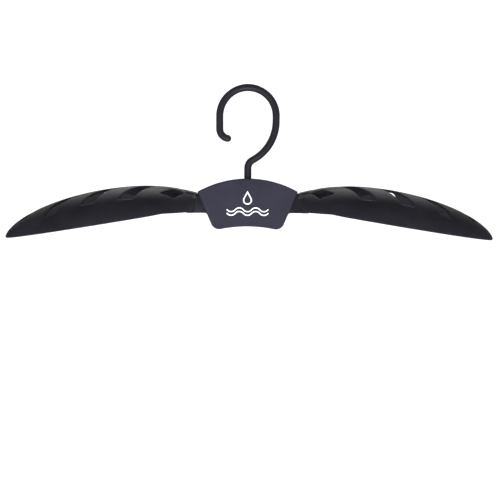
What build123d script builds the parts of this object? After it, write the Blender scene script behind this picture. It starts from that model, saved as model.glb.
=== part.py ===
from build123d import *
import math
import os

# A folding hanger for wetsuits. A round hook turns in a flat housing, and two wide vented
# shoulders hinge in the housing, so that they fold down when the button on the back is pressed.
# Millimetres. X runs along the shoulders, -Y is the front and +Z is up.
# Heights below are measured from the top of the housing; save() then moves the whole hanger
# so that its origin is the seat inside the top of the hook, where it hangs on a rail.

# ---- driving dimensions ----
SEAT_HEIGHT = 81.6          # inside top of the hook above the top of the housing

# hook
HOOK_RADIUS = 3.5           # the round bar
HOOK_SIDE_X = 26.5          # centre line of the hook's right side
HOOK_BEND_Z = 53.8          # height where the lower bend ends and the side begins
HOOK_LOWER_BEND = 41.0      # radius of the lower bend
HOOK_NECK_BEND = 9.0        # radius of the small reverse bend above the stem
HOOK_TOP_BEND = 26.5        # radius of the top bend
HOOK_TOP_Z = 58.6           # height of the top bend's centre
HOOK_CURL_Z = 46.6          # height of the curl's centre
HOOK_CURL_BEND = 9.0
HOOK_CURL_ANGLE = 80.0
STEM_END_Z = -15.2
CLIP_GROOVE = (-13.6, -12.8)
CLIP_GROOVE_RADIUS = 2.7

# housing
HOUSING_CORNER = (47.0, -12.2)
HOUSING_FOOT = (31.5, -48.9)
HOUSING_ARCH_Z = -44.9      # middle of the arched bottom edge
FOOT_RADIUS = 8.0
HALF_THICKNESS = 8.5
WALL = 2.5
INNER_Y = HALF_THICKNESS - WALL
EDGE_ROUND = 1.1
SEAM_GROOVE = 0.4
BOTTOM_WALL_X = 26.0        # beyond this the bottom is open for the folding arms

# bushing for the hook's stem, held in a block under the roof
BUSH_RADIUS = 5.0
BUSH_FLANGE_RADIUS = 5.8
BUSH_FLANGE = 1.2
BLOCK_HALF_WIDTH = 8.0
BLOCK_BOTTOM_Z = -10.5
RUNNING_CLEARANCE = 0.05
FIT_GAP = 0.02              # between pieces that don't move on each other
LAY_GAP = 0.05              # between stacked pieces that turn on each other

# screws through the covers
SCREW_PLACES = ((24.0, -11.5), (17.5, -41.0), (-24.0, -11.5), (-17.5, -41.0))
BOSS_RADIUS = 3.2
SCREW_RADIUS = 1.25
SCREW_HEAD_RADIUS = 2.4
SCREW_HEAD = 1.6
SCREW_TIP_Y = -4.5
SCREW_HEAD_Y = 6.5          # underside of the head
COUNTERBORE_RADIUS = 2.7
SLOT_LENGTH = 2.8           # slots for the screwdriver
SLOT_WIDTH = 0.7
CROSS_DEPTH = 0.9

# hinges
PIVOT_X = 33.0
PIVOT_Z = -29.0
PIN_RADIUS = 2.5
PIN_HALF_LENGTH = 7.2
HUB_RADIUS = 6.2
HUB_HALF_WIDTH = 5.3
WASHER_RADIUS = 5.4
WASHER = 0.5
FOLD_ANGLE = 78.0

# latch: a sprung leaf on the button catches notches in the heel of each hub
HEEL_RADIUS = 12.0
HEEL_FREE_RADIUS = 9.4      # front part of the heel, which the pressed leaf clears
HEEL_STEP_Y = 0.8
HEEL_ANGLES = (120.0, 275.0)
NOTCH_DEPTH = 1.8
NOTCH_HALF_HEIGHT = 2.0
LEAF_REACH = 22.0
LEAF_TIP = 4.0              # length and half height of its narrow tips
LEAF_TIP_HALF_HEIGHT = 1.6
LEAF_HALF_HEIGHT = 3.2
LEAF_Y = (1.8, 2.6)

# button
BUTTON_Z = PIVOT_Z
BUTTON_RADIUS = 10.75
BUTTON_PROUD = 7.4
BUTTON_WALL = 2.0
BUTTON_ROUND = 2.2
BUTTON_FLANGE_RADIUS = 12.2
BUTTON_FLANGE_Y = (4.4, 5.9)
BUTTON_HOLE_GAP = 0.3
BUTTON_POST_RADIUS = 4.0
COLLAR_RADIUS = 13.2        # raised ring round the button on the rear cover
COLLAR_HEIGHT = 0.6
BUTTON_SCREW_HEAD_Y = 0.4
BUTTON_SCREW_END_Y = 9.0
BUTTON_SCREW_HEAD_RADIUS = 2.3
BUTTON_SLOT_DEPTH = 0.6
SPRING_RADIUS = 4.4
SPRING_WIRE = 0.45          # radius of the spring's wire
SPRING_TURNS = 4
SPRING_POST_RADIUS = 3.2
SPRING_POST = 1.8

# arms
ARM_START = 47.0            # inner end of the shoulder paddle
ARM_TIP = 229.5
ARM_WIDEST = 102.0
ARM_HALF_WIDTH = 52.9
ARM_START_HALF_WIDTH = 21.4
ARM_FLARE = 0.93            # how fast the paddle widens at its inner end
ARM_FLARE_BLEND = 8.0       # softness of the turn from the flare into the long side
CROWN_X = 97.0              # highest place of the paddle
CROWN_Z = -7.0
CROWN_START_Z = -14.3
RIM_INNER_Z = -30.4         # the lower edge is level near the housing
RIM_BEND_X = 74.0           # and falls straight to the tip from here
RIM_TIP_Z = -56.5
LOBE_END_X = 58.0           # before this the lower edge curves up to the inner end
LOBE_RISE = 9.0
LOBE_POWER = 3.5
LOBE_STEPS = (47, 47.7, 48.5, 49.4, 50.5, 51.7, 53, 55, 58)     # where that curve is drawn
SHELL = 2.6
END_WALL = 3.0
TIP_WALL = 4.0
# distances along the paddle where its cross section is drawn
SECTIONS = (47, 54, 62, 72, 84, 97, 113, 131, 149, 167, 183, 197, 208, 216.5, 222.5, 226.5, 228.6)
NECK_TOP_Z = -14.2
NECK_BOTTOM_Z = -32.4
NECK_HALF_WIDTH = 8.2
NECK_GAP = 0.7              # between the neck and the housing's slanted side
NECK_END_X = 62.0
NECK_FOOT_X = 57.0          # end of the neck's level bottom
TONGUE_END_X = 56.0         # the tongue ends inside the neck
NECK_RELIEF = 18.0          # the neck's full thickness stays outside this radius of the hinge
TONGUE_TOP_Z = -15.7
TONGUE_UPPER = (-4.6, 4.0)  # where the tongue's sides meet the hub, from the hinge
TONGUE_LOWER = (2.5, -5.6)
TONGUE_TOP_REACH = 3.5      # ends of its level edges, from the hinge
TONGUE_BOTTOM_REACH = 7.0
SPINE_HALF_WIDTH = 3.0
SPINE_END_X = 125.0

# vents: inner |Y| and its two X ends, outer |Y| and its two X ends
VENTS = (
    (4.5, 197.5, 205.0, 22.0, 203.0, 211.0),
    (5.0, 158.7, 170.0, 38.5, 171.6, 182.3),
    (5.3, 122.5, 135.6, 39.5, 136.2, 148.8),
    (5.4, 85.7, 100.0, 40.4, 100.6, 114.6),
    (14.0, 58.0, 70.7, 29.5, 65.5, 79.0),
)
VENT_CORNER = 1.8
VENT_BOW = 0.04             # how far a vent's long sides bow, as a share of their length

# emblem: a drop over two waves, raised a little on the front
EMBLEM_THICKNESS = 0.25
DROP_Z = -20.0
DROP_RADIUS = 4.2
DROP_POINT = 8.6            # from the drop's centre to its point
DROP_LINE = 1.1
WAVE_Z = (-29.0, -32.4)
WAVE_RADIUS = 5.0
WAVE_ANGLE = 100.0
WAVE_LINE = 1.0
WAVES = 5


# ---- helpers ----
def save(shape, name):
    """Move a piece so that the hook's seat is the origin, and write it."""
    export_step(shape.moved(Location((0, 0, -SEAT_HEIGHT))), f"parts/{name}.step")


def plate(sketch, y_from, y_to):
    """A flat piece: an outline in X and Z, thick from one Y to the other."""
    low, high = sorted((y_from, y_to))
    return extrude(Plane.XZ.offset(-low) * sketch, low - high)


def disc(x, z, radius, y_from, y_to):
    """A round piece whose axis runs along Y."""
    return plate(Pos(x, z) * Circle(radius), y_from, y_to)


def ring(x, z, outer, inner, y_from, y_to):
    return disc(x, z, outer, y_from, y_to) - disc(x, z, inner, y_from, y_to)


def upright(radius, z_from, z_to):
    """A round piece on the hook's axis."""
    return extrude(Plane.XY.offset(z_from) * Circle(radius), z_to - z_from)


def outline(*points):
    """A closed outline of straight lines."""
    return make_face(Polyline(*points, close=True))


def sagging_face(points, bows):
    """A closed outline whose sides may bow: one bow, or 0, for each side."""
    sides = Curve()
    for i, bow in enumerate(bows):
        start, end = points[i], points[(i + 1) % len(points)]
        sides += SagittaArc(start, end, bow) if bow else Line(start, end)
    return make_face(sides)


# ---- hook ----
def hook_line():
    """The hook's centre line, in X and Z, from the stem's end to the curled tip."""
    reach = HOOK_LOWER_BEND - HOOK_SIDE_X
    turn = math.acos((HOOK_NECK_BEND + reach) / (HOOK_LOWER_BEND + HOOK_NECK_BEND))
    degrees = math.degrees(turn)
    neck_z = HOOK_BEND_Z - (HOOK_LOWER_BEND + HOOK_NECK_BEND) * math.sin(turn)
    top_x = HOOK_SIDE_X - HOOK_TOP_BEND
    far_x = HOOK_SIDE_X - 2 * HOOK_TOP_BEND
    curl_x = far_x + HOOK_CURL_BEND
    line = Line((0, STEM_END_Z), (0, neck_z))
    line += CenterArc((HOOK_NECK_BEND, neck_z), HOOK_NECK_BEND, 180, -degrees)
    line += CenterArc((-reach, HOOK_BEND_Z), HOOK_LOWER_BEND, -degrees, degrees)
    line += Line((HOOK_SIDE_X, HOOK_BEND_Z), (HOOK_SIDE_X, HOOK_TOP_Z))
    line += CenterArc((top_x, HOOK_TOP_Z), HOOK_TOP_BEND, 0, 180)
    line += Line((far_x, HOOK_TOP_Z), (far_x, HOOK_CURL_Z))
    line += CenterArc((curl_x, HOOK_CURL_Z), HOOK_CURL_BEND, 180, HOOK_CURL_ANGLE)
    return Plane.XZ * line


def hook():
    """Round bar bent to a hook, with a domed tip and a groove for the retaining clip."""
    path = Wire(hook_line().edges())
    if path.position_at(0).Z > path.position_at(1).Z:
        path = Wire(reversed(path.edges()))
    bar = sweep(Plane.XY.offset(STEM_END_Z) * Circle(HOOK_RADIUS), path=path)
    angle = math.radians(180 + HOOK_CURL_ANGLE)
    curl_x = HOOK_SIDE_X - 2 * HOOK_TOP_BEND + HOOK_CURL_BEND
    tip = (curl_x + HOOK_CURL_BEND * math.cos(angle), 0, HOOK_CURL_Z + HOOK_CURL_BEND * math.sin(angle))
    onward = (-math.sin(angle), 0, math.cos(angle))
    bar += Plane(tip, z_dir=onward) * Sphere(HOOK_RADIUS, arc_size1=0, arc_size2=90)
    low, high = CLIP_GROOVE
    groove = upright(HOOK_RADIUS + 1, low, high) - upright(CLIP_GROOVE_RADIUS, low, high)
    return bar - groove


def hook_bushing():
    """Flanged sleeve that the stem turns in; its flange carries the load under the block."""
    sleeve = upright(BUSH_RADIUS - FIT_GAP, BLOCK_BOTTOM_Z, -SEAM_GROOVE)
    sleeve += upright(BUSH_FLANGE_RADIUS, BLOCK_BOTTOM_Z - BUSH_FLANGE, BLOCK_BOTTOM_Z)
    return sleeve - upright(HOOK_RADIUS + RUNNING_CLEARANCE, BLOCK_BOTTOM_Z - BUSH_FLANGE, 0)


def hook_washer():
    top = BLOCK_BOTTOM_Z - BUSH_FLANGE - LAY_GAP
    bottom = CLIP_GROOVE[1] + LAY_GAP
    return upright(BUSH_FLANGE_RADIUS - 0.5, bottom, top) - upright(HOOK_RADIUS + LAY_GAP, bottom, top)


def hook_retaining_clip():
    """Open clip in the stem's groove."""
    low, high = CLIP_GROOVE[0] + LAY_GAP, CLIP_GROOVE[1] - LAY_GAP
    clip = upright(BUSH_FLANGE_RADIUS - 1, low, high) - upright(CLIP_GROOVE_RADIUS + FIT_GAP, low, high)
    mouth = Box(2 * CLIP_GROOVE_RADIUS, 2 * BUSH_FLANGE_RADIUS, 2)
    return clip - Pos(0, -BUSH_FLANGE_RADIUS, (low + high) / 2) * mouth


# ---- housing ----
def housing_outline():
    """Arched top, slanted sides, round lower corners and an arched bottom edge."""
    (corner_x, corner_z), (foot_x, foot_z) = HOUSING_CORNER, HOUSING_FOOT
    edge = ThreePointArc((-corner_x, corner_z), (0, 0), (corner_x, corner_z))
    edge += Line((corner_x, corner_z), (foot_x, foot_z))
    edge += ThreePointArc((foot_x, foot_z), (0, HOUSING_ARCH_Z), (-foot_x, foot_z))
    edge += Line((-foot_x, foot_z), (-corner_x, corner_z))
    face = make_face(edge)
    corners = face.vertices().sort_by(Axis.Y)
    return fillet(corners[:2], FOOT_RADIUS)


def cover_shell(side):
    """One half of the housing: its face, roof, bottom wall, block and screw bosses."""
    shape = housing_outline()
    face = plate(shape, side * INNER_Y, side * HALF_THICKNESS)
    outer = face.faces().sort_by(Axis.Y)[0 if side < 0 else -1]
    cover = fillet(outer.edges(), EDGE_ROUND)
    roof = shape - Pos(0, -WALL) * shape
    cover += plate(roof, side * SEAM_GROOVE, side * INNER_Y)
    cover += plate(roof & (Pos(0, -SEAM_GROOVE) * shape), 0, side * SEAM_GROOVE)
    middle = Pos(0, HOUSING_ARCH_Z) * Rectangle(2 * BOTTOM_WALL_X, -HOUSING_ARCH_Z)
    bottom = (shape - Pos(0, WALL) * shape) & middle
    cover += plate(bottom, 0, side * INNER_Y)
    block = Pos(0, BLOCK_BOTTOM_Z / 2 - WALL / 2) * Rectangle(2 * BLOCK_HALF_WIDTH, -BLOCK_BOTTOM_Z - WALL)
    cover += plate(block, 0, side * INNER_Y)
    cover -= upright(BUSH_RADIUS, BLOCK_BOTTOM_Z - 1, 1)
    for x, z in SCREW_PLACES:
        cover += disc(x, z, BOSS_RADIUS, 0, side * INNER_Y)
    for x in (-PIVOT_X, PIVOT_X):
        cover -= disc(x, PIVOT_Z, PIN_RADIUS + FIT_GAP, 0, side * (PIN_HALF_LENGTH + LAY_GAP))
    return cover


def front_cover():
    """Front half, with blind screw holes and a post that centres the button's spring."""
    cover = cover_shell(-1)
    cover += disc(0, BUTTON_Z, SPRING_POST_RADIUS, -INNER_Y, SPRING_POST - INNER_Y)
    for x, z in SCREW_PLACES:
        cover -= disc(x, z, SCREW_RADIUS + FIT_GAP, SCREW_TIP_Y - LAY_GAP, 0)
    return cover


def rear_cover():
    """Rear half, with the button's hole and collar, and counterbored screw holes."""
    cover = cover_shell(1)
    cover += disc(0, BUTTON_Z, COLLAR_RADIUS, INNER_Y, HALF_THICKNESS + COLLAR_HEIGHT)
    cover -= disc(0, BUTTON_Z, BUTTON_RADIUS + BUTTON_HOLE_GAP, 0, HALF_THICKNESS + 1)
    for x, z in SCREW_PLACES:
        cover -= disc(x, z, SCREW_RADIUS + FIT_GAP, 0, HALF_THICKNESS)
        cover -= disc(x, z, COUNTERBORE_RADIUS, SCREW_HEAD_Y, HALF_THICKNESS)
    return cover


def cover_screws():
    """Four pan head screws with a cross recess."""
    screws = []
    top = SCREW_HEAD_Y + SCREW_HEAD
    for x, z in SCREW_PLACES:
        screw = disc(x, z, SCREW_RADIUS, SCREW_TIP_Y, SCREW_HEAD_Y)
        screw += disc(x, z, SCREW_HEAD_RADIUS, SCREW_HEAD_Y, top)
        for width, height in ((SLOT_WIDTH, SLOT_LENGTH), (SLOT_LENGTH, SLOT_WIDTH)):
            screw -= plate(Pos(x, z) * Rectangle(width, height), top - CROSS_DEPTH, top)
        screws.append(screw.solid())
    return Compound(screws)


def hinge_pin(side):
    return disc(side * PIVOT_X, PIVOT_Z, PIN_RADIUS, -PIN_HALF_LENGTH, PIN_HALF_LENGTH)


def hub_washers():
    """A thin washer on each side of each hub."""
    washers = []
    for x in (-PIVOT_X, PIVOT_X):
        for side in (-1, 1):
            near = side * (INNER_Y - LAY_GAP - WASHER)
            far = side * (INNER_Y - LAY_GAP)
            washer = ring(x, PIVOT_Z, WASHER_RADIUS, PIN_RADIUS + LAY_GAP, near, far)
            washers.append(washer.solid())
    return Compound(washers)


# ---- button ----
def push_button():
    """Round hollow button with a flange that keeps it in, and a post for the leaf."""
    top = HALF_THICKNESS + BUTTON_PROUD
    low, high = BUTTON_FLANGE_Y
    cap = disc(0, BUTTON_Z, BUTTON_RADIUS, low, top)
    cap = fillet(cap.faces().sort_by(Axis.Y)[-1].edges(), BUTTON_ROUND)
    cap += disc(0, BUTTON_Z, BUTTON_FLANGE_RADIUS, low, high)
    cap -= disc(0, BUTTON_Z, BUTTON_RADIUS - BUTTON_WALL, low, top - BUTTON_WALL)
    cap += disc(0, BUTTON_Z, BUTTON_POST_RADIUS, LEAF_Y[1], top - BUTTON_WALL)
    return cap - disc(0, BUTTON_Z, SCREW_RADIUS + FIT_GAP, LEAF_Y[1], BUTTON_SCREW_END_Y + LAY_GAP)


def latch_leaf():
    """Sprung steel leaf under the button, with a narrow tip at each end."""
    shoulder = LEAF_REACH - LEAF_TIP
    blade = Pos(0, BUTTON_Z) * Rectangle(2 * shoulder, 2 * LEAF_HALF_HEIGHT)
    blade += Pos(0, BUTTON_Z) * Rectangle(2 * LEAF_REACH, 2 * LEAF_TIP_HALF_HEIGHT)
    blade += Pos(0, BUTTON_Z) * Circle(SPRING_RADIUS + 1.2)
    blade -= Pos(0, BUTTON_Z) * Circle(SCREW_RADIUS + FIT_GAP)
    return plate(blade, *LEAF_Y)


def button_screw():
    screw = disc(0, BUTTON_Z, SCREW_RADIUS, LEAF_Y[0], BUTTON_SCREW_END_Y)
    head = disc(0, BUTTON_Z, BUTTON_SCREW_HEAD_RADIUS, BUTTON_SCREW_HEAD_Y, LEAF_Y[0])
    low, high = BUTTON_SCREW_HEAD_Y, BUTTON_SCREW_HEAD_Y + BUTTON_SLOT_DEPTH
    return screw + head - plate(Pos(0, BUTTON_Z) * Rectangle(SLOT_LENGTH, SLOT_WIDTH), low, high)


def button_spring():
    """Coil spring between the front cover and the leaf."""
    length = LEAF_Y[0] + INNER_Y - 2 * (SPRING_WIRE + LAY_GAP)
    coil = Helix(length / SPRING_TURNS, length, SPRING_RADIUS)
    start = Plane(coil @ 0, z_dir=coil % 0)
    wire = sweep(start * Circle(SPRING_WIRE), path=coil, is_frenet=True)
    base = Plane((0, SPRING_WIRE + LAY_GAP - INNER_Y, BUTTON_Z), z_dir=(0, 1, 0))
    return base * wire


# ---- arms ----
def half_width(x):
    """Half the paddle's width at a distance from the middle."""
    flare = ARM_START_HALF_WIDTH + ARM_FLARE * (x - ARM_START)
    share = max(0, x - ARM_WIDEST) / (ARM_TIP - ARM_WIDEST)
    leaf = ARM_HALF_WIDTH * (1 - share**2.6) ** 0.46
    return (flare + leaf - math.hypot(flare - leaf, ARM_FLARE_BLEND)) / 2


def rim_height(x):
    """Height of the paddle's lower edge, without the curve at its inner end."""
    fall = max(0, x - RIM_BEND_X) / (ARM_TIP - RIM_BEND_X)
    return RIM_INNER_Z + (RIM_TIP_Z - RIM_INNER_Z) * fall


def lobe_rise(x):
    """How far the lower edge curves up near the inner end."""
    share = max(0, LOBE_END_X - x) / (LOBE_END_X - ARM_START)
    return LOBE_RISE * share**LOBE_POWER


def crown_height(x):
    """Height of the paddle's ridge."""
    if x < CROWN_X:
        share = (CROWN_X - x) / (CROWN_X - ARM_START)
        return CROWN_Z - (CROWN_Z - CROWN_START_Z) * share**1.75
    share = (x - CROWN_X) / (ARM_TIP - CROWN_X)
    return CROWN_Z - (CROWN_Z - RIM_TIP_Z) * (1 - (1 - share**1.75) ** 0.62)


def arm_body(inset, places):
    """A long rounded body; its upper half is the paddle's surface, set in by inset."""
    sections = []
    for x in places:
        rise = crown_height(x) - rim_height(x)
        plane = Plane((x, 0, rim_height(x)), x_dir=(0, 1, 0), z_dir=(1, 0, 0))
        sections.append(plane * Ellipse(half_width(x) - inset, rise - inset))
    return loft(sections)


def vent(inner, in_from, in_to, outer, out_from, out_to, side):
    """One slanted vent, cut straight down through the paddle on one side of its ridge."""
    points = [(in_from, inner), (in_to, inner), (out_to, outer), (out_from, outer)]
    bow = VENT_BOW * (outer - inner)
    face = sagging_face(points, (0, -bow, 0, bow))
    face = fillet(face.vertices(), VENT_CORNER)
    if side < 0:
        face = mirror(face, about=Plane.XZ)
    return extrude(Plane.XY.offset(RIM_TIP_Z - 5) * face, CROWN_Z - RIM_TIP_Z + 10)


def paddle():
    """The vented shoulder: a thin arched shell, open underneath."""
    shell = arm_body(0, SECTIONS)
    first, last = ARM_START + END_WALL, ARM_TIP - TIP_WALL
    inside = [first] + [x for x in SECTIONS if first + 1 < x < last - 2] + [last]
    shell -= arm_body(SHELL, inside)
    rim = [(x, rim_height(x) + lobe_rise(x)) for x in LOBE_STEPS]
    rim += [(RIM_BEND_X, RIM_INNER_Z), (ARM_TIP + 2, rim_height(ARM_TIP + 2))]
    below_ends = [(ARM_TIP + 2, 2 * RIM_TIP_Z), (ARM_START - 2, 2 * RIM_TIP_Z), (ARM_START - 2, rim[0][1])]
    shell -= plate(outline(*rim, *below_ends), -ARM_HALF_WIDTH - 2, ARM_HALF_WIDTH + 2)
    for places in VENTS:
        for side in (-1, 1):
            shell -= vent(*places, side)
    return shell


def neck():
    """Solid root of the paddle, as thick as the housing and a little clear of its side."""
    (corner_x, corner_z), (foot_x, foot_z) = HOUSING_CORNER, HOUSING_FOOT
    slant = (corner_x - foot_x) / (corner_z - foot_z)
    top_x = corner_x + NECK_GAP + slant * (NECK_TOP_Z - corner_z)
    bottom_x = top_x + slant * (NECK_BOTTOM_Z - NECK_TOP_Z)
    side = outline(
        (top_x, NECK_TOP_Z),
        (NECK_END_X, crown_height(NECK_END_X) - SHELL / 2),
        (NECK_END_X + 8, rim_height(NECK_END_X) + 6),
        (NECK_FOOT_X, NECK_BOTTOM_Z),
        (bottom_x, NECK_BOTTOM_Z),
    )
    return plate(side, -NECK_HALF_WIDTH, NECK_HALF_WIDTH)


def spine():
    """Tapering web under the paddle's ridge that carries the load to the neck."""
    side = outline(
        (NECK_END_X - 2, NECK_BOTTOM_Z + 2),
        (NECK_END_X - 2, crown_height(NECK_END_X) - SHELL / 2),
        (CROWN_X, CROWN_Z - SHELL / 2),
        (SPINE_END_X, crown_height(SPINE_END_X) - SHELL / 2),
        (SPINE_END_X, crown_height(SPINE_END_X) - SHELL - 1),
    )
    return plate(side, -SPINE_HALF_WIDTH, SPINE_HALF_WIDTH)


def tongue():
    """Thinner root that runs into the housing, with the hub round the hinge pin."""
    side = outline(
        (PIVOT_X + TONGUE_UPPER[0], PIVOT_Z + TONGUE_UPPER[1]),
        (PIVOT_X + TONGUE_TOP_REACH, TONGUE_TOP_Z),
        (TONGUE_END_X, TONGUE_TOP_Z),
        (TONGUE_END_X, NECK_BOTTOM_Z),
        (PIVOT_X + TONGUE_BOTTOM_REACH, NECK_BOTTOM_Z),
        (PIVOT_X + TONGUE_LOWER[0], PIVOT_Z + TONGUE_LOWER[1]),
    )
    side += Pos(PIVOT_X, PIVOT_Z) * Circle(HUB_RADIUS)
    return plate(side, -HUB_HALF_WIDTH, HUB_HALF_WIDTH)


def heel_sector(radius):
    """Part of a disc round the hinge, on the side towards the middle of the housing."""
    start, end = HEEL_ANGLES
    centre = (PIVOT_X, PIVOT_Z)
    arc = CenterArc(centre, radius, start, end - start)
    return make_face(Line(centre, arc @ 0) + arc + Line(arc @ 1, centre))


def heel():
    """The hub's heel: its rear part has a notch for the open and one for the folded arm."""
    heel = plate(heel_sector(HEEL_FREE_RADIUS), -HUB_HALF_WIDTH, HEEL_STEP_Y)
    catch = plate(heel_sector(HEEL_RADIUS), HEEL_STEP_Y, HUB_HALF_WIDTH)
    notch = Pos(PIVOT_X - HEEL_RADIUS, PIVOT_Z) * Rectangle(2 * NOTCH_DEPTH, 2 * NOTCH_HALF_HEIGHT)
    cutter = plate(notch, HEEL_STEP_Y, HUB_HALF_WIDTH)
    axis = Axis((PIVOT_X, 0, PIVOT_Z), (0, -1, 0))
    return heel + (catch - cutter - cutter.rotate(axis, FOLD_ANGLE))


def right_arm():
    """Paddle, neck, tongue, hub and heel in one moulding."""
    body = paddle() + neck() + spine()
    wide = HALF_THICKNESS + NECK_GAP
    body -= disc(PIVOT_X, PIVOT_Z, NECK_RELIEF, -wide, wide)
    arm = body + tongue() + heel()
    return arm - disc(PIVOT_X, PIVOT_Z, PIN_RADIUS + RUNNING_CLEARANCE, -HALF_THICKNESS, HALF_THICKNESS)


# ---- emblem ----
def drop_shape(radius, point):
    """A drop: a round belly whose two tangents meet in a point above it."""
    reach = math.acos(radius / point)
    x, z = radius * math.sin(reach), radius * math.cos(reach)
    return Circle(radius) + outline((-x, z), (0, point), (x, z))


def wave_line(z):
    """A thin wave of equal arcs, turned up and down by turns."""
    half = WAVE_RADIUS * math.sin(math.radians(WAVE_ANGLE / 2))
    drop = WAVE_RADIUS * math.cos(math.radians(WAVE_ANGLE / 2))
    line = Sketch()
    for i in range(WAVES):
        x = (2 * i + 1 - WAVES) * half
        up = 1 if i % 2 else -1
        arc = CenterArc((x, z - up * drop), WAVE_RADIUS, up * 90 - WAVE_ANGLE / 2, WAVE_ANGLE)
        line += SlotArc(arc, WAVE_LINE)
    return line


def emblem():
    """A plain white drop over two waves."""
    size = (DROP_RADIUS - DROP_LINE) / DROP_RADIUS
    hollow = drop_shape(DROP_RADIUS * size, DROP_POINT * size)
    mark = Pos(0, DROP_Z) * (drop_shape(DROP_RADIUS, DROP_POINT) - hollow)
    for z in WAVE_Z:
        mark += wave_line(z)
    return plate(mark, -HALF_THICKNESS - EMBLEM_THICKNESS, -HALF_THICKNESS)


# ---- all pieces ----
arm = right_arm()
pieces = {
    "hook": hook(),
    "hook_bushing": hook_bushing(),
    "hook_washer": hook_washer(),
    "hook_retaining_clip": hook_retaining_clip(),
    "front_cover": front_cover(),
    "rear_cover": rear_cover(),
    "cover_screws": cover_screws(),
    "left_hinge_pin": hinge_pin(-1),
    "right_hinge_pin": hinge_pin(1),
    "hub_washers": hub_washers(),
    "push_button": push_button(),
    "latch_leaf": latch_leaf(),
    "button_screw": button_screw(),
    "button_spring": button_spring(),
    "right_arm": arm,
    "left_arm": mirror(arm, about=Plane.YZ),
    "emblem": emblem(),
}
for name, piece in pieces.items():
    save(piece, name)
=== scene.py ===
import math
import bmesh
import bpy
import numpy as np
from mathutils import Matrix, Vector
from mathutils.geometry import delaunay_2d_cdt


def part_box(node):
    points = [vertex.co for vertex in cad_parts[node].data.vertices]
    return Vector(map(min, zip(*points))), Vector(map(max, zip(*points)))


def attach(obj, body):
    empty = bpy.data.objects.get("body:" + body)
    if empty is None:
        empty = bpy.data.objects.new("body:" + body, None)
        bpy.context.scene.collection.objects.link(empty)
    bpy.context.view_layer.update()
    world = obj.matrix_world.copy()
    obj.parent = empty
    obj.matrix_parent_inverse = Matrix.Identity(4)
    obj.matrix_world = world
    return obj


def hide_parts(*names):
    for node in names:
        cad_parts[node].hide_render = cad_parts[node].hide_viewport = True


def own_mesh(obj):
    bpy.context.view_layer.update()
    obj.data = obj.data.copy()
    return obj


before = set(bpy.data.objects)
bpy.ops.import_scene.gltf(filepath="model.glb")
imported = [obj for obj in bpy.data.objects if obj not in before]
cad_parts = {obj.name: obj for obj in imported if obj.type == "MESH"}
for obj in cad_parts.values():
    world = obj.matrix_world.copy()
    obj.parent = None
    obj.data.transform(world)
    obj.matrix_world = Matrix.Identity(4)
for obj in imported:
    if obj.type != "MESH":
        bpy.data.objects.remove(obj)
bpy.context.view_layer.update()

# The folding wetsuit hanger. Shapes below are in millimetres, with heights measured from the top
# of the housing, as the hanger is drawn; in_row() turns them into the frame's metres.
MM = 0.001
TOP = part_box("front_cover")[1].z / MM           # top of the housing in the frame
ARM_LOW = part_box("right_arm")[0] / MM
ARM_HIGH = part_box("right_arm")[1] / MM
HOOK_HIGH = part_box("hook")[1] / MM

# ---- shoulder paddle ----
START = 47.0                                    # inner end
TIP = ARM_HIGH.x + 0.9                          # rounding takes this much off the tip again
HALF_WIDTH = ARM_HIGH.y + 0.5                   # and the blend of flare and leaf this much
WIDEST = 102.0
START_WIDTH = 21.4                              # half width at the inner end
FLARE = 0.93                                    # how fast it widens there
FLARE_BLEND = 8.0
LEAF_CURVE = (2.6, 0.46)                        # roundness of the leaf towards the tip
CROWN_X = 97.0
CROWN_Z = -7.0
CROWN_START_Z = -14.3
CROWN_CURVE = (1.75, 0.62)                      # how it falls to both ends, and at the very tip
DOME = 0.94                                     # below 1, the arch across is fuller than an ellipse
RIM_INNER_Z = -30.4                             # the lower edge is level near the housing
RIM_BEND_X = 74.0                               # and falls straight to the tip from here
RIM_TIP_Z = ARM_LOW.z - TOP
LOBE_END_X = 58.0                               # before this it curves up to the inner end
LOBE_RISE = 14.0
LOBE_POWER = 3.5
SHELL = 2.5
OUTER_ROUND = 1.1                               # rounding of every cut edge, outside and inside
INNER_ROUND = 0.8
END_SET = 0.3                                   # the inner end lies this far beyond START
END_CURVE = 1.3                                 # the inner end curves in by this much
END_CORNER = 2.5                                # rounding of its two corners
CORNER_INSET = 0.5                              # which also pulls them in by this much
BAND = (9.6, 13.5)                              # half width of the flat band at its start and end
BAND_X = (47.0, 84.0, 100.0)                    # where it starts, is widest and has faded out
BAND_CREASE = 1.6
BAND_LIFT = 0.15                                # it stands above the arch by this much
BAND_FADE = 12.0                                # and starts to fade this far before its widest place
MESH_STEP = 2.2
FINE_STEP = 0.9                                 # spacing of the points near the inner end
LOOP_STEP = 1.1
RINGS = (0.16, 0.55, 1.1, 1.9)                  # rows of points beside every cut edge
RING_CLEAR = 0.7                                # free strip between these and the other points
SLOPE_STEP = 0.02

# vents: inner |Y| and its two X ends, outer |Y| and its two X ends
VENTS = (
    (4.5, 197.5, 205.0, 22.0, 203.0, 211.0),
    (5.0, 158.7, 170.0, 38.5, 171.6, 182.3),
    (5.3, 122.5, 135.6, 39.5, 136.2, 148.8),
    (5.4, 85.7, 100.0, 40.4, 100.6, 114.6),
    (14.0, 58.0, 70.7, 29.5, 65.5, 79.0),
)
VENT_CORNERS = (1.3, 1.5, 3.2, 1.2)             # radius at inner near, inner far, outer far, outer near
VENT_BOW = 0.04

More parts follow.
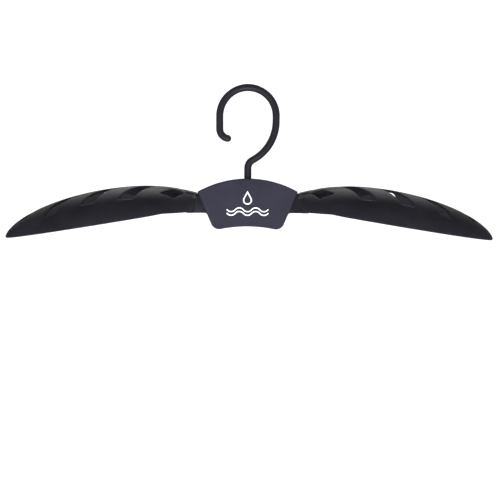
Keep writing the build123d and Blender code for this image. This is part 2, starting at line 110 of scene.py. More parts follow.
# ---- root of the arm: neck, tongue, hub and heel ----
PIVOT = (33.0, -29.0)                           # the hinge's axis, X and Z
HUB_RADIUS = 6.2
HUB_HALF_WIDTH = 5.3
PIN_HOLE_RADIUS = 2.55
HEEL_RADIUS = 12.0                              # of the rear part, which has the notches
HEEL_FREE_RADIUS = 9.4                          # of the front part
HEEL_STEP_Y = 0.8                               # where the two parts meet
HEEL_ANGLES = (120.0, 275.0)
NOTCH = (1.8, 2.0)                              # depth and half width
FOLD_ANGLE = 78.0
NECK_HALF_WIDTH = 8.2
NECK_TOP_Z = -14.2
NECK_BOTTOM_Z = -32.4
NECK_RELIEF = 18.0                              # radius of its hollow round the hinge
NECK_END_X = 62.0
NECK_FOOT_X = 57.0                              # its level underside ends here
NECK_REACH = (8.0, 6.0)                         # then it runs on and up into the shell by this
NECK_INSET = (1.8, 4.0)                         # its top starts this far behind the inner end
NECK_ROUND = 1.0
NECK_SIDE = ((47.9, -12.2), (32.4, -48.9))      # a line just clear of the housing's slanted side
TONGUE_TOP_Z = -15.7
TONGUE_END_X = 56.0
ROOT_ROUND = 0.25
SPINE_HALF_WIDTH = 3.0
SPINE_START_X = 63.0
SPINE_END_X = 125.0
SPINE_FOOT = 4.0                                # it starts this far above the neck's underside
SPINE_END_DEPTH = 1.0                           # and ends this far under the shell
SPINE_ROUND = 0.8

# ---- hook ----
BAR = 3.5
HOOK_TOP_BEND = 26.5
HOOK_TOP_Z = HOOK_HIGH.z - TOP - BAR - HOOK_TOP_BEND
HOOK_BEND_Z = 53.8
HOOK_LOWER_BEND = 41.0
HOOK_NECK_BEND = 9.0
HOOK_CURL_Z = 46.6
HOOK_CURL_BEND = 9.0
HOOK_CURL_ANGLE = 80.0
STEM_END_Z = -15.2
ARC_STEP = 3.0                                  # degrees between points of its bends
TIP_RINGS = (20, 40, 60, 78)                    # degrees, rows of points on the domed tip

# ---- button ----
BUTTON_Z = -29.0
BUTTON_RADIUS = 10.75
BUTTON_LOW_Y = 4.4
BUTTON_WALL = 2.0
BUTTON_FLANGE = 1.4
BUTTON_FLANGE_THICKNESS = 1.5
BUTTON_ROUND = 2.2
BUTTON_EDGE_ROUND = 0.25
# the ring round the face: how far in from the rim, and how far down
BUTTON_GROOVE = ((2.9, 0.0), (3.3, 0.35), (3.7, 0.35), (4.1, 0.0), (4.6, 0.05))
BUTTON_DISH = 0.7                               # the face is hollowed by this much
BUTTON_DISH_RADII = (4.6, 3.0, 1.5)
BUTTON_HIGH_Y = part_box("push_button")[1].y / MM

# ---- button's spring ----
SPRING_WIRE = 0.45                              # radius of the wire
SPRING_TURNS = 4
SPRING_STEPS = 24                               # rows of points in each turn
SPRING_SIDES = 8

# ---- ranges that the noise and the edge finder (for the painted edge highlight) of the materials really use ----
PATCH_RANGE = (0.35, 0.65)
SPECK_RANGE = (0.3, 0.7)
EDGE_RANGE = (0.52, 0.62)

# ---- camera ----
CAMERA_DISTANCE = 0.590                         # metres
CAMERA_HEIGHT = 15.0                            # above the top of the housing
CAMERA_SIDE = 1.3                               # degrees round to the right
CAMERA_PITCH = 4.0                              # degrees, looking down
CAMERA_ROLL = -0.15
CAMERA_YAW = 1.1
CAMERA_LENS = 44.9
CAMERA_SHIFT = -0.0876                          # raises the hanger into the upper half


# ---------------------------------------------------------------- mesh helpers
def in_row(points):
    """Millimetres from the housing's top to metres in the frame."""
    return (np.asarray(points, float) + (0, 0, TOP)) * MM


def mesh_object(name, points, faces):
    """A mesh object from points in metres."""
    mesh = bpy.data.meshes.new(name)
    mesh.from_pydata([tuple(p) for p in points], [], [tuple(int(i) for i in f) for f in faces])
    obj = bpy.data.objects.new(name, mesh)
    bpy.context.collection.objects.link(obj)
    return obj


def shade_smooth(mesh):
    for polygon in mesh.polygons:
        polygon.use_smooth = True


def face_outwards(mesh):
    """Turns every face of a closed mesh outwards."""
    fix = bmesh.new()
    fix.from_mesh(mesh)
    bmesh.ops.recalc_face_normals(fix, faces=fix.faces)
    fix.to_mesh(mesh)
    fix.free()


def add_piece(name, points, faces, body, material, replaced):
    """A closed piece from points in millimetres; it rides on a body and replaces a CAD node."""
    obj = mesh_object(name, in_row(points), faces)
    obj.data.validate()
    face_outwards(obj.data)
    obj.data.materials.append(material)
    shade_smooth(obj.data)
    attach(obj, body)
    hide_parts(replaced)
    return obj


def tube_faces(rings, sides):
    """Faces between rows of points that each go once round a piece, and the two ends' rows."""
    faces = []
    for ring in range(rings - 1):
        for i in range(sides):
            j = (i + 1) % sides
            a, b = ring * sides, (ring + 1) * sides
            faces.append((a + i, b + i, b + j, a + j))
    first = list(range(sides))
    return faces, first, [(rings - 1) * sides + i for i in first]


def fan(row, point):
    """Triangles that close a row of points with one more point."""
    return [(row[i], row[(i + 1) % len(row)], point) for i in range(len(row))]


def resample(points, step):
    """Points of a closed line on the unrolled paddle, evenly spaced on its surface."""
    points = np.vstack([points, points[:1]])
    lengths = np.linalg.norm(np.diff(surface(points), axis=0), axis=1)
    along = np.concatenate([[0], np.cumsum(lengths)])
    count = max(8, round(along[-1] / step))
    places = np.linspace(0, along[-1], count, endpoint=False)
    return np.column_stack([np.interp(places, along, points[:, i]) for i in (0, 1)])


def bent(start, control, end, count=12):
    """Points of a simple curve that leaves start and reaches end along the lines to control."""
    t = np.linspace(0, 1, count)[:, None]
    start, control, end = (np.asarray(p, float) for p in (start, control, end))
    return (1 - t) ** 2 * start + 2 * t * (1 - t) * control + t**2 * end


def inside(points, loop):
    """Which points lie inside a closed line."""
    x, y = points[:, :1], points[:, 1:]
    x0, y0 = loop.T
    x1, y1 = np.roll(loop, -1, axis=0).T
    crosses = (y0 <= y) != (y1 <= y)
    with np.errstate(divide="ignore", invalid="ignore"):
        where = x0 + (y - y0) / (y1 - y0) * (x1 - x0)
    return (np.sum(crosses & (x < where), axis=1) % 2).astype(bool)


def distance(points, loop):
    """Distance from each point to a closed line."""
    a, b = loop, np.roll(loop, -1, axis=0)
    side = b - a
    length2 = np.maximum((side**2).sum(1), 1e-12)
    best = np.full(len(points), np.inf)
    for i in range(len(a)):
        offset = points - a[i]
        t = np.clip(offset @ side[i] / length2[i], 0, 1)
        best = np.minimum(best, np.hypot(*(offset - t[:, None] * side[i]).T))
    return best


def ring_beside(loop, offset):
    """A closed line's points moved sideways, to the left of its direction."""
    ahead = np.roll(loop, -1, axis=0) - np.roll(loop, 1, axis=0)
    ahead /= np.hypot(*ahead.T)[:, None]
    return loop + offset * np.column_stack([-ahead[:, 1], ahead[:, 0]])


def anticlockwise(loop):
    x, y = loop.T
    area = np.sum(x * np.roll(y, -1) - y * np.roll(x, -1))
    return loop if area > 0 else loop[::-1]


# ---------------------------------------------------------------- paddle surface
def half_width(x):
    """Half the paddle's width: a flare at the inner end, blended into a long rounded leaf."""
    share = np.clip((x - WIDEST) / (TIP - WIDEST), 0, 1)
    leaf = HALF_WIDTH * (1 - share ** LEAF_CURVE[0]) ** LEAF_CURVE[1]
    flare = START_WIDTH + FLARE * (x - START)
    return (flare + leaf - np.sqrt((flare - leaf) ** 2 + FLARE_BLEND**2)) / 2


def rim_height(x):
    """Height of the lower edge: curved up at the inner end, level, then falling to the tip."""
    lobe = np.clip((LOBE_END_X - x) / (LOBE_END_X - START), 0, 1)
    fall = np.clip((x - RIM_BEND_X) / (TIP - RIM_BEND_X), 0, 1)
    return RIM_INNER_Z + LOBE_RISE * lobe**LOBE_POWER + (RIM_TIP_Z - RIM_INNER_Z) * fall


def crown_height(x):
    """Height of the ridge, before the flat band lifts it."""
    near = np.clip((CROWN_X - x) / (CROWN_X - START), 0, None)
    far = np.clip((x - CROWN_X) / (TIP - CROWN_X), 0, 1)
    fall, end = CROWN_CURVE
    drop = (CROWN_Z - CROWN_START_Z) * near**fall
    drop += (CROWN_Z - RIM_TIP_Z) * (1 - (1 - far**fall) ** end)
    return CROWN_Z - drop


def smooth_step(value, low, high):
    t = np.clip((value - low) / (high - low), 0, 1)
    return t * t * (3 - 2 * t)


def surface(flat):
    """The outer surface above points of the unrolled paddle: X, and a distance across it."""
    x, across = flat.T
    width = half_width(x)
    angle = np.clip(across / width, -1, 1) * math.pi / 2
    y = width * np.sin(angle)
    low, rise = rim_height(x), crown_height(x) - rim_height(x)
    z = low + rise * np.cos(angle) ** DOME
    band = np.interp(x, BAND_X, (BAND[0], BAND[1], BAND[1]))
    inner = 1 - smooth_step(np.abs(y), band - BAND_CREASE / 2, band + BAND_CREASE / 2)
    fade = 1 - smooth_step(x, BAND_X[1] - BAND_FADE, BAND_X[2])
    z = z + inner * fade * (low + rise + BAND_LIFT - z)
    return np.column_stack([x, y, z])


def normals(flat):
    """Outward directions of the outer surface."""
    flat = flat.copy()
    flat[:, 0] = np.minimum(flat[:, 0], TIP - 3 * SLOPE_STEP)
    limit = half_width(flat[:, 0]) - 2 * SLOPE_STEP
    flat[:, 1] = np.clip(flat[:, 1], -limit, limit)
    step_x, step_y = np.array([SLOPE_STEP, 0]), np.array([0, SLOPE_STEP])
    along = surface(flat + step_x) - surface(flat - step_x)
    across = surface(flat + step_y) - surface(flat - step_y)
    out = np.cross(along, across)
    return out / np.linalg.norm(out, axis=1)[:, None]


def unroll(x, y):
    """Where a point seen from above lies on the unrolled paddle."""
    width = half_width(x)
    return np.column_stack([x, width * 2 / math.pi * np.arcsin(np.clip(y / width, -1, 1))])


def paddle_outline():
    """The unrolled paddle's edge: long sides, a slightly hollow inner end and round corners."""
    near, far = np.linspace(START + END_CORNER, RIM_BEND_X, 80), np.linspace(0, math.pi / 2, 160)
    x = np.concatenate([near[:-1], RIM_BEND_X + (TIP - RIM_BEND_X) * np.sin(far)])
    side = np.column_stack([x, half_width(x)])
    side[-1, 1] = 0
    start_y = START_WIDTH - END_CORNER
    end = np.linspace(0, start_y, 24)
    end_line = np.column_stack([START + END_SET + END_CURVE * (1 - (end / start_y) ** 2), end])
    corner = bent(end_line[-1], (START + END_SET, START_WIDTH - CORNER_INSET), side[0], 12)
    half = np.vstack([end_line[:-1], corner[:-1], side])
    other = half[::-1][1:-1] * (1, -1)
    return anticlockwise(resample(np.vstack([half, other]), LOOP_STEP))


def vent_outline(inner, in_from, in_to, outer, out_from, out_to):
    """One vent seen from above: bowed sides and rounded corners."""
    corners = np.array([(in_from, inner), (in_to, inner), (out_to, outer), (out_from, outer)], float)
    last_step = 100
    bows = (0, VENT_BOW, 0, -VENT_BOW)
    sides = []
    for i, bow in enumerate(bows):
        start, end = corners[i], corners[(i + 1) % 4]
        across = np.array([(end - start)[1], -(end - start)[0]])
        sides.append((start, (start + end) / 2 + 2 * bow * across, end))
    line = []
    for i in range(4):
        start, middle, end = sides[i]
        length = np.hypot(*(end - start))
        first, last = VENT_CORNERS[i] / length, 1 - VENT_CORNERS[(i + 1) % 4] / length
        whole = bent(start, middle, end, last_step + 1)
        stretch = whole[round(first * last_step):round(last * last_step) + 1]
        line.append(stretch)
        following = bent(*sides[(i + 1) % 4], last_step + 1)
        next_length = np.hypot(*(corners[(i + 2) % 4] - corners[(i + 1) % 4]))
        arrival = following[round(VENT_CORNERS[(i + 1) % 4] / next_length * last_step)]
        line.append(bent(stretch[-1], end, arrival, 8)[1:-1])
    return np.vstack(line)


def vent_loops():
    """The vents' edges on the unrolled paddle, front and rear."""
    loops = []
    for places in VENTS:
        seen = vent_outline(*places)
        for side in (1, -1):
            x, y = seen.T
            loops.append(anticlockwise(resample(unroll(x, side * y), LOOP_STEP)))
    return loops


def rounding(depth, radius):
    """How far a surface falls towards a cut edge that is depth away."""
    near = np.clip(1 - depth / radius, 0, 1)
    return radius * (1 - np.sqrt(1 - near**2))


def grid_inside(outline, vents):
    """Evenly spaced points of the unrolled paddle, clear of its cut edges."""
    row_share = 0.87                            # rows this far apart make nearly even triangles
    fine = np.arange(START, LOBE_END_X, FINE_STEP * row_share)
    xs = np.concatenate([fine, np.arange(LOBE_END_X, TIP, MESH_STEP * row_share)])
    points = []
    for row, x in enumerate(xs):
        step = FINE_STEP if x < LOBE_END_X else MESH_STEP
        shift = step / 2 if row % 2 else 0
        ys = np.arange(-HALF_WIDTH, HALF_WIDTH, step) + shift
        points.append(np.column_stack([np.full(len(ys), x), ys]))
    points = np.vstack(points)
    clear = RINGS[-1] + RING_CLEAR
    keep = inside(points, outline) & (distance(points, outline) > clear)
    for loop in vents:
        keep &= ~inside(points, loop) & (distance(points, loop) > clear)
    return points[keep]


def paddle_mesh():
    """Points and faces of the closed shell: outer skin, inner skin and the walls between."""
    outline, vents = paddle_outline(), vent_loops()
    loops = [outline] + vents
    flat = [*loops]
    for offset in RINGS:
        flat.append(ring_beside(outline, offset))
        flat += [ring_beside(loop, -offset) for loop in vents]
    flat.append(grid_inside(outline, vents))
    edges, count = [], 0
    for loop in loops:
        n = len(loop)
        edges += [(count + i, count + (i + 1) % n) for i in range(n)]
        count += n
    points = np.vstack(flat)
    made = delaunay_2d_cdt([Vector(p) for p in points], edges, [], 0, 1e-5)
    flat = np.array([tuple(v) for v in made[0]])
    faces = np.array(made[2])
    middles = flat[faces].mean(axis=1)
    keep = inside(middles, outline)
    for loop in vents:
        keep &= ~inside(middles, loop)
    faces = faces[keep]
    used = np.unique(faces)
    order = np.full(len(flat), -1)
    order[used] = np.arange(len(used))
    faces, flat = order[faces], flat[used]
    depth = np.min([distance(flat, loop) for loop in loops], axis=0)
    skin, out = surface(flat), normals(flat)
    outer = skin - out * rounding(depth, OUTER_ROUND)[:, None]
    inner = skin - out * (SHELL - rounding(depth, INNER_ROUND))[:, None]
    a, b, c = (flat[faces[:, i]] for i in range(3))
    wrong = np.cross(b - a, c - a) < 0
    faces[wrong] = faces[wrong][:, ::-1]
    total = len(flat)
    sides = dict.fromkeys((face[i], face[(i + 1) % 3]) for face in faces for i in range(3))
    walls = [(b, a, a + total, b + total) for a, b in sides if (b, a) not in sides]
    return np.vstack([outer, inner]), [*faces, *(faces[:, ::-1] + total), *walls]


# ---------------------------------------------------------------- solid helpers
def prism(name, outline, y_from, y_to):
    """A closed block: an outline in X and Z, thick from one Y to the other."""
    outline = anticlockwise(np.asarray(outline, float))
    n = len(outline)
    front = [(x, y_from, z) for x, z in outline]
    back = [(x, y_to, z) for x, z in outline]
    faces = [tuple(range(n)), tuple(range(2 * n - 1, n - 1, -1))]
    faces += [(i, i + n, (i + 1) % n + n, (i + 1) % n) for i in range(n)]
    obj = mesh_object(name, in_row(front + back), faces)
    face_outwards(obj.data)
    return obj


def circle(centre, radius, start=0.0, sweep=360.0, step=6.0):
    """Points on an arc; a full circle leaves out its last point."""
    count = max(3, round(abs(sweep) / step))
    angles = np.radians(np.linspace(start, start + sweep, count + 1))
    if abs(sweep) >= 360:
        angles = angles[:-1]
    return np.column_stack([centre[0] + radius * np.cos(angles), centre[1] + radius * np.sin(angles)])


def combine(base, other, operation):
    """Joins or cuts two solids, and leaves one."""
    change = base.modifiers.new("combine", "BOOLEAN")
    change.operation = operation
    change.object = other
    change.solver = "EXACT"
    bake(base)
    bpy.data.objects.remove(other)


def bake(obj):
    """Puts an object's modifiers into its mesh."""
    graph = bpy.context.evaluated_depsgraph_get()
    mesh = bpy.data.meshes.new_from_object(obj.evaluated_get(graph))
    obj.modifiers.clear()
    obj.data = mesh


def soften(obj, width, segments=3, angle=35.0):
    """Rounds an object's sharp edges and shades it smoothly."""
    bevel = obj.modifiers.new("soften", "BEVEL")
    bevel.width = width * MM
    bevel.segments = segments
    bevel.limit_method = "ANGLE"
    bevel.angle_limit = math.radians(angle)
    bevel.harden_normals = True
    bevel.use_clamp_overlap = True
    shade_smooth(obj.data)
    bake(obj)


# ---------------------------------------------------------------- arms
def neck_outline():
    """The thick neck from the side: slanted and hollowed towards the housing."""
    heights = np.linspace(NECK_TOP_Z, NECK_BOTTOM_Z, 24)
    (x0, z0), (x1, z1) = NECK_SIDE
    slanted = x0 + (heights - z0) / (z1 - z0) * (x1 - x0)
    arc = PIVOT[0] + np.sqrt(NECK_RELIEF**2 - (heights - PIVOT[1]) ** 2)
    near = np.column_stack([np.maximum(slanted, arc), heights])
    top_x = START + NECK_INSET[1]
    far = [
        (NECK_FOOT_X, NECK_BOTTOM_Z),
        (NECK_END_X + NECK_REACH[0], float(rim_height(NECK_END_X)) + NECK_REACH[1]),
        (NECK_END_X, float(crown_height(NECK_END_X)) - SHELL / 2),
        (top_x, float(crown_height(top_x)) - SHELL / 2),
        (START + NECK_INSET[0], NECK_TOP_Z),
    ]
    return np.vstack([near, far])


def tongue_outline():
    """The tongue that runs into the housing; its near end is drawn round the hinge's axis."""
    return [
        (PIVOT[0] - 4.6, PIVOT[1] + 4),
        (PIVOT[0] + 3.5, TONGUE_TOP_Z),
        (TONGUE_END_X, TONGUE_TOP_Z),
        (TONGUE_END_X, NECK_BOTTOM_Z),
        (PIVOT[0] + 7, NECK_BOTTOM_Z),
        (PIVOT[0] + 2.5, PIVOT[1] - 5.6),
    ]


def heel(radius, y_from, y_to):
    start, end = HEEL_ANGLES
    arc = circle(PIVOT, radius, start, end - start, 5)
    return prism("heel", np.vstack([[PIVOT], arc]), y_from, y_to)


def notch(turn):
    """A cutter for one latch notch, turned round the hinge."""
    depth, half = NOTCH
    box = np.array([(-HEEL_RADIUS - depth, -half), (-HEEL_RADIUS + depth, -half),
                    (-HEEL_RADIUS + depth, half), (-HEEL_RADIUS - depth, half)])
    c, s = math.cos(math.radians(turn)), math.sin(math.radians(turn))
    box = box @ np.array([[c, s], [-s, c]]) + PIVOT
    return prism("notch", box, HEEL_STEP_Y, HUB_HALF_WIDTH + 1)


def arm_root(name):
    """Neck, tongue, hub and heel as one solid."""
    root = prism(name, neck_outline(), -NECK_HALF_WIDTH, NECK_HALF_WIDTH)
    soften(root, NECK_ROUND)
    combine(root, prism("tongue", tongue_outline(), -HUB_HALF_WIDTH, HUB_HALF_WIDTH), "UNION")
    combine(root, prism("hub", circle(PIVOT, HUB_RADIUS), -HUB_HALF_WIDTH, HUB_HALF_WIDTH), "UNION")
    combine(root, heel(HEEL_FREE_RADIUS, -HUB_HALF_WIDTH, HEEL_STEP_Y + 0.01), "UNION")
    combine(root, heel(HEEL_RADIUS, HEEL_STEP_Y, HUB_HALF_WIDTH - 0.01), "UNION")
    for turn in (0, FOLD_ANGLE):
        combine(root, notch(turn), "DIFFERENCE")
    hole = prism("hole", circle(PIVOT, PIN_HOLE_RADIUS), -HUB_HALF_WIDTH - 1, HUB_HALF_WIDTH + 1)
    combine(root, hole, "DIFFERENCE")
    soften(root, ROOT_ROUND, 2, 50)
    return root


def arm_spine(name):
    """The web under the ridge that carries the load to the neck."""
    end_z = float(crown_height(SPINE_END_X))
    side = [
        (SPINE_START_X, NECK_BOTTOM_Z + SPINE_FOOT),
        (SPINE_START_X, float(crown_height(NECK_END_X)) - SHELL / 2),
        (CROWN_X, CROWN_Z - SHELL / 2),
        (SPINE_END_X, end_z - SHELL / 2),
        (SPINE_END_X, end_z - SHELL - SPINE_END_DEPTH),
    ]
    web = prism(name, side, -SPINE_HALF_WIDTH, SPINE_HALF_WIDTH)
    soften(web, SPINE_ROUND)
    return web


def mirrored(obj, name):
    """A copy of a right hand piece for the left."""
    mesh = obj.data.copy()
    copy = bpy.data.objects.new(name, mesh)
    bpy.context.collection.objects.link(copy)
    flip = bmesh.new()
    flip.from_mesh(mesh)
    for vertex in flip.verts:
        vertex.co.x *= -1
    bmesh.ops.reverse_faces(flip, faces=flip.faces)
    flip.to_mesh(mesh)
    flip.free()
    return copy


def finish_arm_piece(obj, side, material):
    """Gives one piece of an arm its material and puts it on its body."""
    obj.data.materials.clear()
    obj.data.materials.append(material)
    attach(obj, f"{side}_arm")
    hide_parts(f"{side}_arm")


def arms(material):
    """Both arms: a vented shell, a root and a web under the ridge each."""
    points, faces = paddle_mesh()
    shell = mesh_object("right_shoulder", in_row(points), faces)
    shade_smooth(shell.data)
    pieces = {"shoulder": shell, "root": arm_root("right_root"), "spine": arm_spine("right_spine")}
    for kind, piece in pieces.items():
        finish_arm_piece(mirrored(piece, f"left_{kind}"), "left", material)
        finish_arm_piece(piece, "right", material)


# ---------------------------------------------------------------- hook
def hook_path():
    """Centre line of the bar: places and directions in X and Z."""
    reach = HOOK_LOWER_BEND - HOOK_TOP_BEND
    turn = math.acos((HOOK_NECK_BEND + reach) / (HOOK_LOWER_BEND + HOOK_NECK_BEND))
    neck_z = HOOK_BEND_Z - (HOOK_LOWER_BEND + HOOK_NECK_BEND) * math.sin(turn)
    curl = (HOOK_CURL_BEND - HOOK_TOP_BEND, HOOK_CURL_Z)
    angle = math.degrees(turn)
    return np.vstack([
        [(0, STEM_END_Z), (0, -1.0), (0, neck_z / 2)],
        circle((HOOK_NECK_BEND, neck_z), HOOK_NECK_BEND, 180, -angle, ARC_STEP),
        circle((-reach, HOOK_BEND_Z), HOOK_LOWER_BEND, -angle, angle, ARC_STEP)[1:],
        circle((0, HOOK_TOP_Z), HOOK_TOP_BEND, 0, 180, ARC_STEP),
        circle(curl, HOOK_CURL_BEND, 180, HOOK_CURL_ANGLE, ARC_STEP * 2),
    ])


def hook_piece(material):
    """A round bar with a domed tip, swept along the centre line."""
    path = hook_path()
    ahead = np.gradient(path, axis=0)
    ahead /= np.hypot(*ahead.T)[:, None]
    radii = np.full(len(path), BAR)
    tip, way = path[-1], ahead[-1]
    for angle in np.radians(TIP_RINGS):
        path = np.vstack([path, tip + way * BAR * math.sin(angle)])
        ahead = np.vstack([ahead, way])
        radii = np.append(radii, BAR * math.cos(angle))
    around = np.radians(np.arange(0, 360, 10))
    points = []
    for (x, z), (dx, dz), radius in zip(path, ahead, radii):
        for angle in around:
            side, depth = radius * math.cos(angle), radius * math.sin(angle)
            points.append((x + side * dz, depth, z - side * dx))
    faces, first, last = tube_faces(len(path), len(around))
    points += [(tip[0] + way[0] * BAR, 0, tip[1] + way[1] * BAR), (0, 0, STEM_END_Z)]
    faces += fan(last, len(points) - 2) + fan(first, len(points) - 1)
    add_piece("hook_bar", points, faces, "hook", material, "hook")


# ---------------------------------------------------------------- button
def button_piece(material):
    """The button: a turned shape with a dished face and a ring round it."""
    top = BUTTON_HIGH_Y
    r = BUTTON_RADIUS
    flange, flange_y = r + BUTTON_FLANGE, BUTTON_LOW_Y + BUTTON_FLANGE_THICKNESS
    profile = [(r - BUTTON_WALL, BUTTON_LOW_Y), (flange, BUTTON_LOW_Y), (flange, flange_y), (r, flange_y)]
    profile += [(r, top - BUTTON_ROUND)]
    profile += [tuple(p) for p in circle((r - BUTTON_ROUND, top - BUTTON_ROUND), BUTTON_ROUND, 0, 90, 15)[1:]]
    profile += [(r - across, top - down) for across, down in BUTTON_GROOVE]
    dish_radius, dish_y = r - BUTTON_GROOVE[-1][0], top - BUTTON_GROOVE[-1][1]
    profile += [(x, dish_y - BUTTON_DISH * (1 - (x / dish_radius) ** 2)) for x in BUTTON_DISH_RADII]
    around = np.radians(np.arange(0, 360, 5))
    points = []
    for radius, y in profile:
        for angle in around:
            points.append((radius * math.cos(angle), y, BUTTON_Z + radius * math.sin(angle)))
    faces, first, last = tube_faces(len(profile), len(around))
    points += [(0, dish_y - BUTTON_DISH, BUTTON_Z), (0, BUTTON_LOW_Y, BUTTON_Z)]
    faces += fan(last, len(points) - 2) + fan(first, len(points) - 1)
    button = add_piece("button_cap", points, faces, "button", material, "push_button")
    soften(button, BUTTON_EDGE_ROUND, 2, 50)


def spring_piece(material):
    """The coil spring between the front cover and the leaf."""
    low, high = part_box("button_spring")
    middle = (low + high) / 2
    radius = (high.x - low.x) / 2 - SPRING_WIRE * MM
    first, last = low.y + SPRING_WIRE * MM, high.y - SPRING_WIRE * MM
    steps = SPRING_TURNS * SPRING_STEPS
    points = []
    for turned in np.linspace(0, 1, steps):
        angle = 2 * math.pi * SPRING_TURNS * turned
        for around in np.radians(np.arange(0, 360, 360 / SPRING_SIDES)):
            reach = radius + SPRING_WIRE * MM * math.cos(around)
            y = first + (last - first) * turned + SPRING_WIRE * MM * math.sin(around)
            points.append((middle.x + reach * math.cos(angle), y, middle.z + reach * math.sin(angle)))
    faces, start, end = tube_faces(steps, SPRING_SIDES)
    faces += [start, end]
    points = np.array(points) / MM - (0, 0, TOP)
    spring = add_piece("press_spring", points, faces, "housing", material, "button_spring")
    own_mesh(spring)


# ---------------------------------------------------------------- materials
def node(tree, kind, **values):
    """A new shader node with its inputs or settings filled in."""
    made = tree.nodes.new(kind)
    for name, value in values.items():
        if name in made.inputs:
            made.inputs[name].default_value = value
        else:
            setattr(made, name, value)
    return made


def remap(tree, source, given, wanted):
    """Stretches a value from one range to another."""
    made = node(tree, "ShaderNodeMapRange")
    for name, value in zip(("From Min", "From Max", "To Min", "To Max"), (*given, *wanted)):
        made.inputs[name].default_value = value
    tree.links.new(source, made.inputs["Value"])
    return made.outputs["Result"]


def colour_mix(tree, share, second):
    """Mixes a second colour into a first; returns the first's input and the result."""
    made = node(tree, "ShaderNodeMix", data_type="RGBA")
    factor, first, other = (made.inputs[i] for i in (0, 6, 7))
    other.default_value = (*second, 1)
    tree.links.new(share, factor)
    return first, made.outputs[2]


def moulded(name, dark, light, rough, specular, grain, depth, edge_sheen, cloud=30.0):
    """Moulded or coated surface: patchy colour, fine grain, uneven gloss and paler edges as a painted edge
    highlight.

    rough is the range of roughness, grain the noise scale of the fine texture and depth its height
    in millimetres, edge_sheen the share of paler colour painted on edges as a highlight, and cloud the noise
    scale of the patches.
    """
    material = bpy.data.materials.new(name)
    material.use_nodes = True
    tree = material.node_tree
    shader = tree.nodes["Principled BSDF"]
    shader.inputs["Specular IOR Level"].default_value = specular
    place = node(tree, "ShaderNodeTexCoord")
    patches = node(tree, "ShaderNodeTexNoise", Scale=cloud, Detail=5.0, Roughness=0.6)
    tree.links.new(place.outputs["Object"], patches.inputs["Vector"])
    spread = remap(tree, patches.outputs["Fac"], PATCH_RANGE, (0, 1))
    plain, colours = colour_mix(tree, spread, light)
    plain.default_value = (*dark, 1)
    # Pointiness picks out convex edges, and the colour there is lightened up to threefold: a painted edge
    # highlight.
    geometry = node(tree, "ShaderNodeNewGeometry")
    edges = remap(tree, geometry.outputs["Pointiness"], EDGE_RANGE, (0, edge_sheen))
    unsheened, sheened = colour_mix(tree, edges, [min(1, 3 * c + 0.02) for c in light])
    tree.links.new(colours, unsheened)
    tree.links.new(sheened, shader.inputs["Base Color"])
    specks = node(tree, "ShaderNodeTexNoise", Scale=grain, Detail=3.0, Roughness=0.65)
    tree.links.new(place.outputs["Object"], specks.inputs["Vector"])
    gloss = remap(tree, specks.outputs["Fac"], SPECK_RANGE, rough)
    tree.links.new(gloss, shader.inputs["Roughness"])
    bump = node(tree, "ShaderNodeBump", Strength=1.0, Distance=depth * MM)
    tree.links.new(specks.outputs["Fac"], bump.inputs["Height"])
    tree.links.new(bump.outputs["Normal"], shader.inputs["Normal"])
    return material


def arm_plastic():
    """Black plastic with a coarse sandblasted skin, nearly matt."""
    dark, light = (0.01, 0.01, 0.013), (0.015, 0.015, 0.0198)
    return moulded("arm_plastic", dark, light, (0.5, 0.74), 0.03, 1100, 0.16, 0.2)


def housing_plastic():
    """Slate plastic with a fine even texture."""
    dark, light = (0.014, 0.0135, 0.025), (0.019, 0.0185, 0.033)
    return moulded("housing_plastic", dark, light, (0.48, 0.66), 0.12, 2600, 0.05, 0.3)


def button_plastic():
    dark, light = (0.014, 0.014, 0.018), (0.020, 0.020, 0.025)
    return moulded("button_plastic", dark, light, (0.38, 0.52), 0.35, 2200, 0.04, 0.4)


def hook_coating():
    """Satin black coating on steel bar."""
    dark, light = (0.009, 0.009, 0.0125), (0.013, 0.013, 0.0175)
    return moulded("hook_coating", dark, light, (0.30, 0.44), 0.11, 1800, 0.03, 0.3)


def print_white():
    dark, light = (0.82, 0.82, 0.84), (0.90, 0.90, 0.92)
    return moulded("print_white", dark, light, (0.30, 0.42), 0.5, 3000, 0.01, 0.0)


def bearing_plastic(name, dark, light):
    """Smooth plastic of bushes and washers."""
    return moulded(name, dark, light, (0.35, 0.50), 0.5, 2400, 0.02, 0.0)


def steel(name, colour, rough):
    """Machined steel with fine turning marks."""
    made = moulded(name, colour, tuple(min(1, c * 1.15) for c in colour), rough, 0.5, 2400, 0.02, 0.3)
    made.node_tree.nodes["Principled BSDF"].inputs["Metallic"].default_value = 1.0
    return made


def white_stage():
    """Plain pale floor and backdrop with a faint mottle."""
    dark, light = (0.90, 0.90, 0.90), (0.93, 0.93, 0.93)
    return moulded("white_stage", dark, light, (0.8, 0.9), 0.1, 40, 0.02, 0.0, 3.0)


def dress(nodes, material):
    """Gives CAD pieces that stay visible their material."""
    for name in nodes:
        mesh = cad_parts[name].data
        mesh.materials.clear()
        mesh.materials.append(material)


# ---------------------------------------------------------------- stage, light, camera
def stage(material):
    """A floor that curves up into a backdrop."""
    floor_z, height = -0.62, 4.0
    front_y, back_y = -3.0, 1.7
    radius, half = 0.6, 4.0
    line = [(front_y, floor_z), (back_y - radius, floor_z)]
    line += [tuple(p) for p in circle((back_y - radius, floor_z + radius), radius, -90, 90, 5)[1:]]
    line += [(back_y, height)]
    points = [(x, y, z) for y, z in line for x in (-half, half)]
    faces = [(2 * i, 2 * i + 1, 2 * i + 3, 2 * i + 2) for i in range(len(line) - 1)]
    obj = mesh_object("stage", points, faces)
    shade_smooth(obj.data)
    obj.data.materials.append(material)


def area_light(name, place, target, size, power):
    data = bpy.data.lights.new(name, "AREA")
    data.shape = "RECTANGLE"
    data.size, data.size_y = size
    data.energy = power
    obj = bpy.data.objects.new(name, data)
    bpy.context.collection.objects.link(obj)
    obj.location = place
    obj.rotation_euler = (Vector(target) - Vector(place)).to_track_quat("-Z", "Y").to_euler()


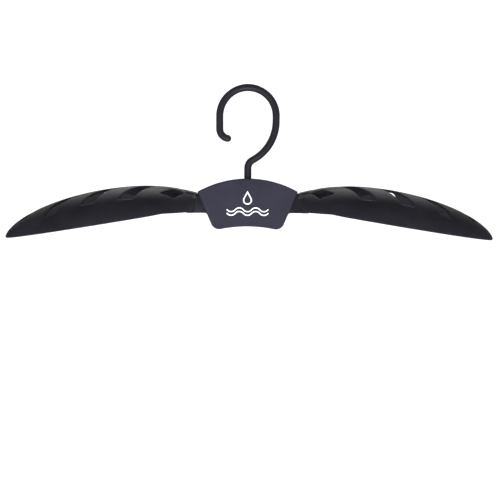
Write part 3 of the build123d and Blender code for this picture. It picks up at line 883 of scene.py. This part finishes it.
def lights():
    """Two keys high behind the shoulders, soft fill from low in front, and a wash on the backdrop that
    is turned away from the hanger. Places in metres, powers in watts."""
    middle = (0, 0, TOP * MM)
    key_size = (0.35, 0.25)
    area_light("key_above_left", (-0.30, 0.80, 0.45), (-0.12, 0, TOP * MM), key_size, 4.0)
    area_light("key_above_right", (0.30, 0.80, 0.45), (0.12, 0, TOP * MM), key_size, 3.4)
    area_light("front_fill", (0.0, -1.4, -0.55), middle, (2.0, 0.8), 14)
    area_light("low_fill", (0.0, -0.62, -0.38), middle, (0.3, 0.2), 4.2)
    area_light("backdrop_wash", (0, 0.9, 1.3), (0, 1.7, 0.9), (2.6, 0.6), 28)
    world = bpy.data.worlds.new("studio")
    world.use_nodes = True
    background = world.node_tree.nodes["Background"]
    background.inputs["Color"].default_value = (1, 1, 1, 1)
    background.inputs["Strength"].default_value = 0.75
    bpy.context.scene.world = world
    bpy.context.scene.view_settings.view_transform = "Standard"


def camera():
    """In front of the hanger, a little to the right and above the top of the housing, looking slightly
    down; the lens shift keeps the hanger in the upper half of the picture."""
    data = bpy.data.cameras.new("camera")
    data.sensor_width = 36.0
    data.lens = CAMERA_LENS
    data.shift_y = CAMERA_SHIFT
    obj = bpy.data.objects.new("camera", data)
    bpy.context.collection.objects.link(obj)
    side = math.radians(CAMERA_SIDE)
    height = (TOP + CAMERA_HEIGHT) * MM
    obj.location = (CAMERA_DISTANCE * math.sin(side), -CAMERA_DISTANCE * math.cos(side), height)
    turned = (90 - CAMERA_PITCH, CAMERA_ROLL, CAMERA_YAW)
    obj.rotation_euler = [math.radians(angle) for angle in turned]
    bpy.context.scene.camera = obj


# ---------------------------------------------------------------- all together
plastic = arm_plastic()
arms(plastic)
hook_piece(hook_coating())
button_piece(button_plastic())
dress(("front_cover", "rear_cover"), housing_plastic())
dress(("emblem",), print_white())
dress(("hook_bushing",), bearing_plastic("black_acetal", (0.010, 0.010, 0.012), (0.014, 0.014, 0.017)))
dress(("hub_washers",), bearing_plastic("white_nylon", (0.62, 0.61, 0.57), (0.70, 0.69, 0.65)))
fittings = ("hook_washer", "hook_retaining_clip", "left_hinge_pin", "right_hinge_pin")
dress(fittings, steel("bright_steel", (0.55, 0.55, 0.56), (0.2, 0.35)))
spring_steel = steel("spring_steel", (0.33, 0.33, 0.35), (0.25, 0.4))
spring_piece(spring_steel)
dress(("latch_leaf",), spring_steel)
dress(("cover_screws", "button_screw"), steel("black_steel", (0.06, 0.06, 0.065), (0.3, 0.45)))
stage(white_stage())
lights()
camera()
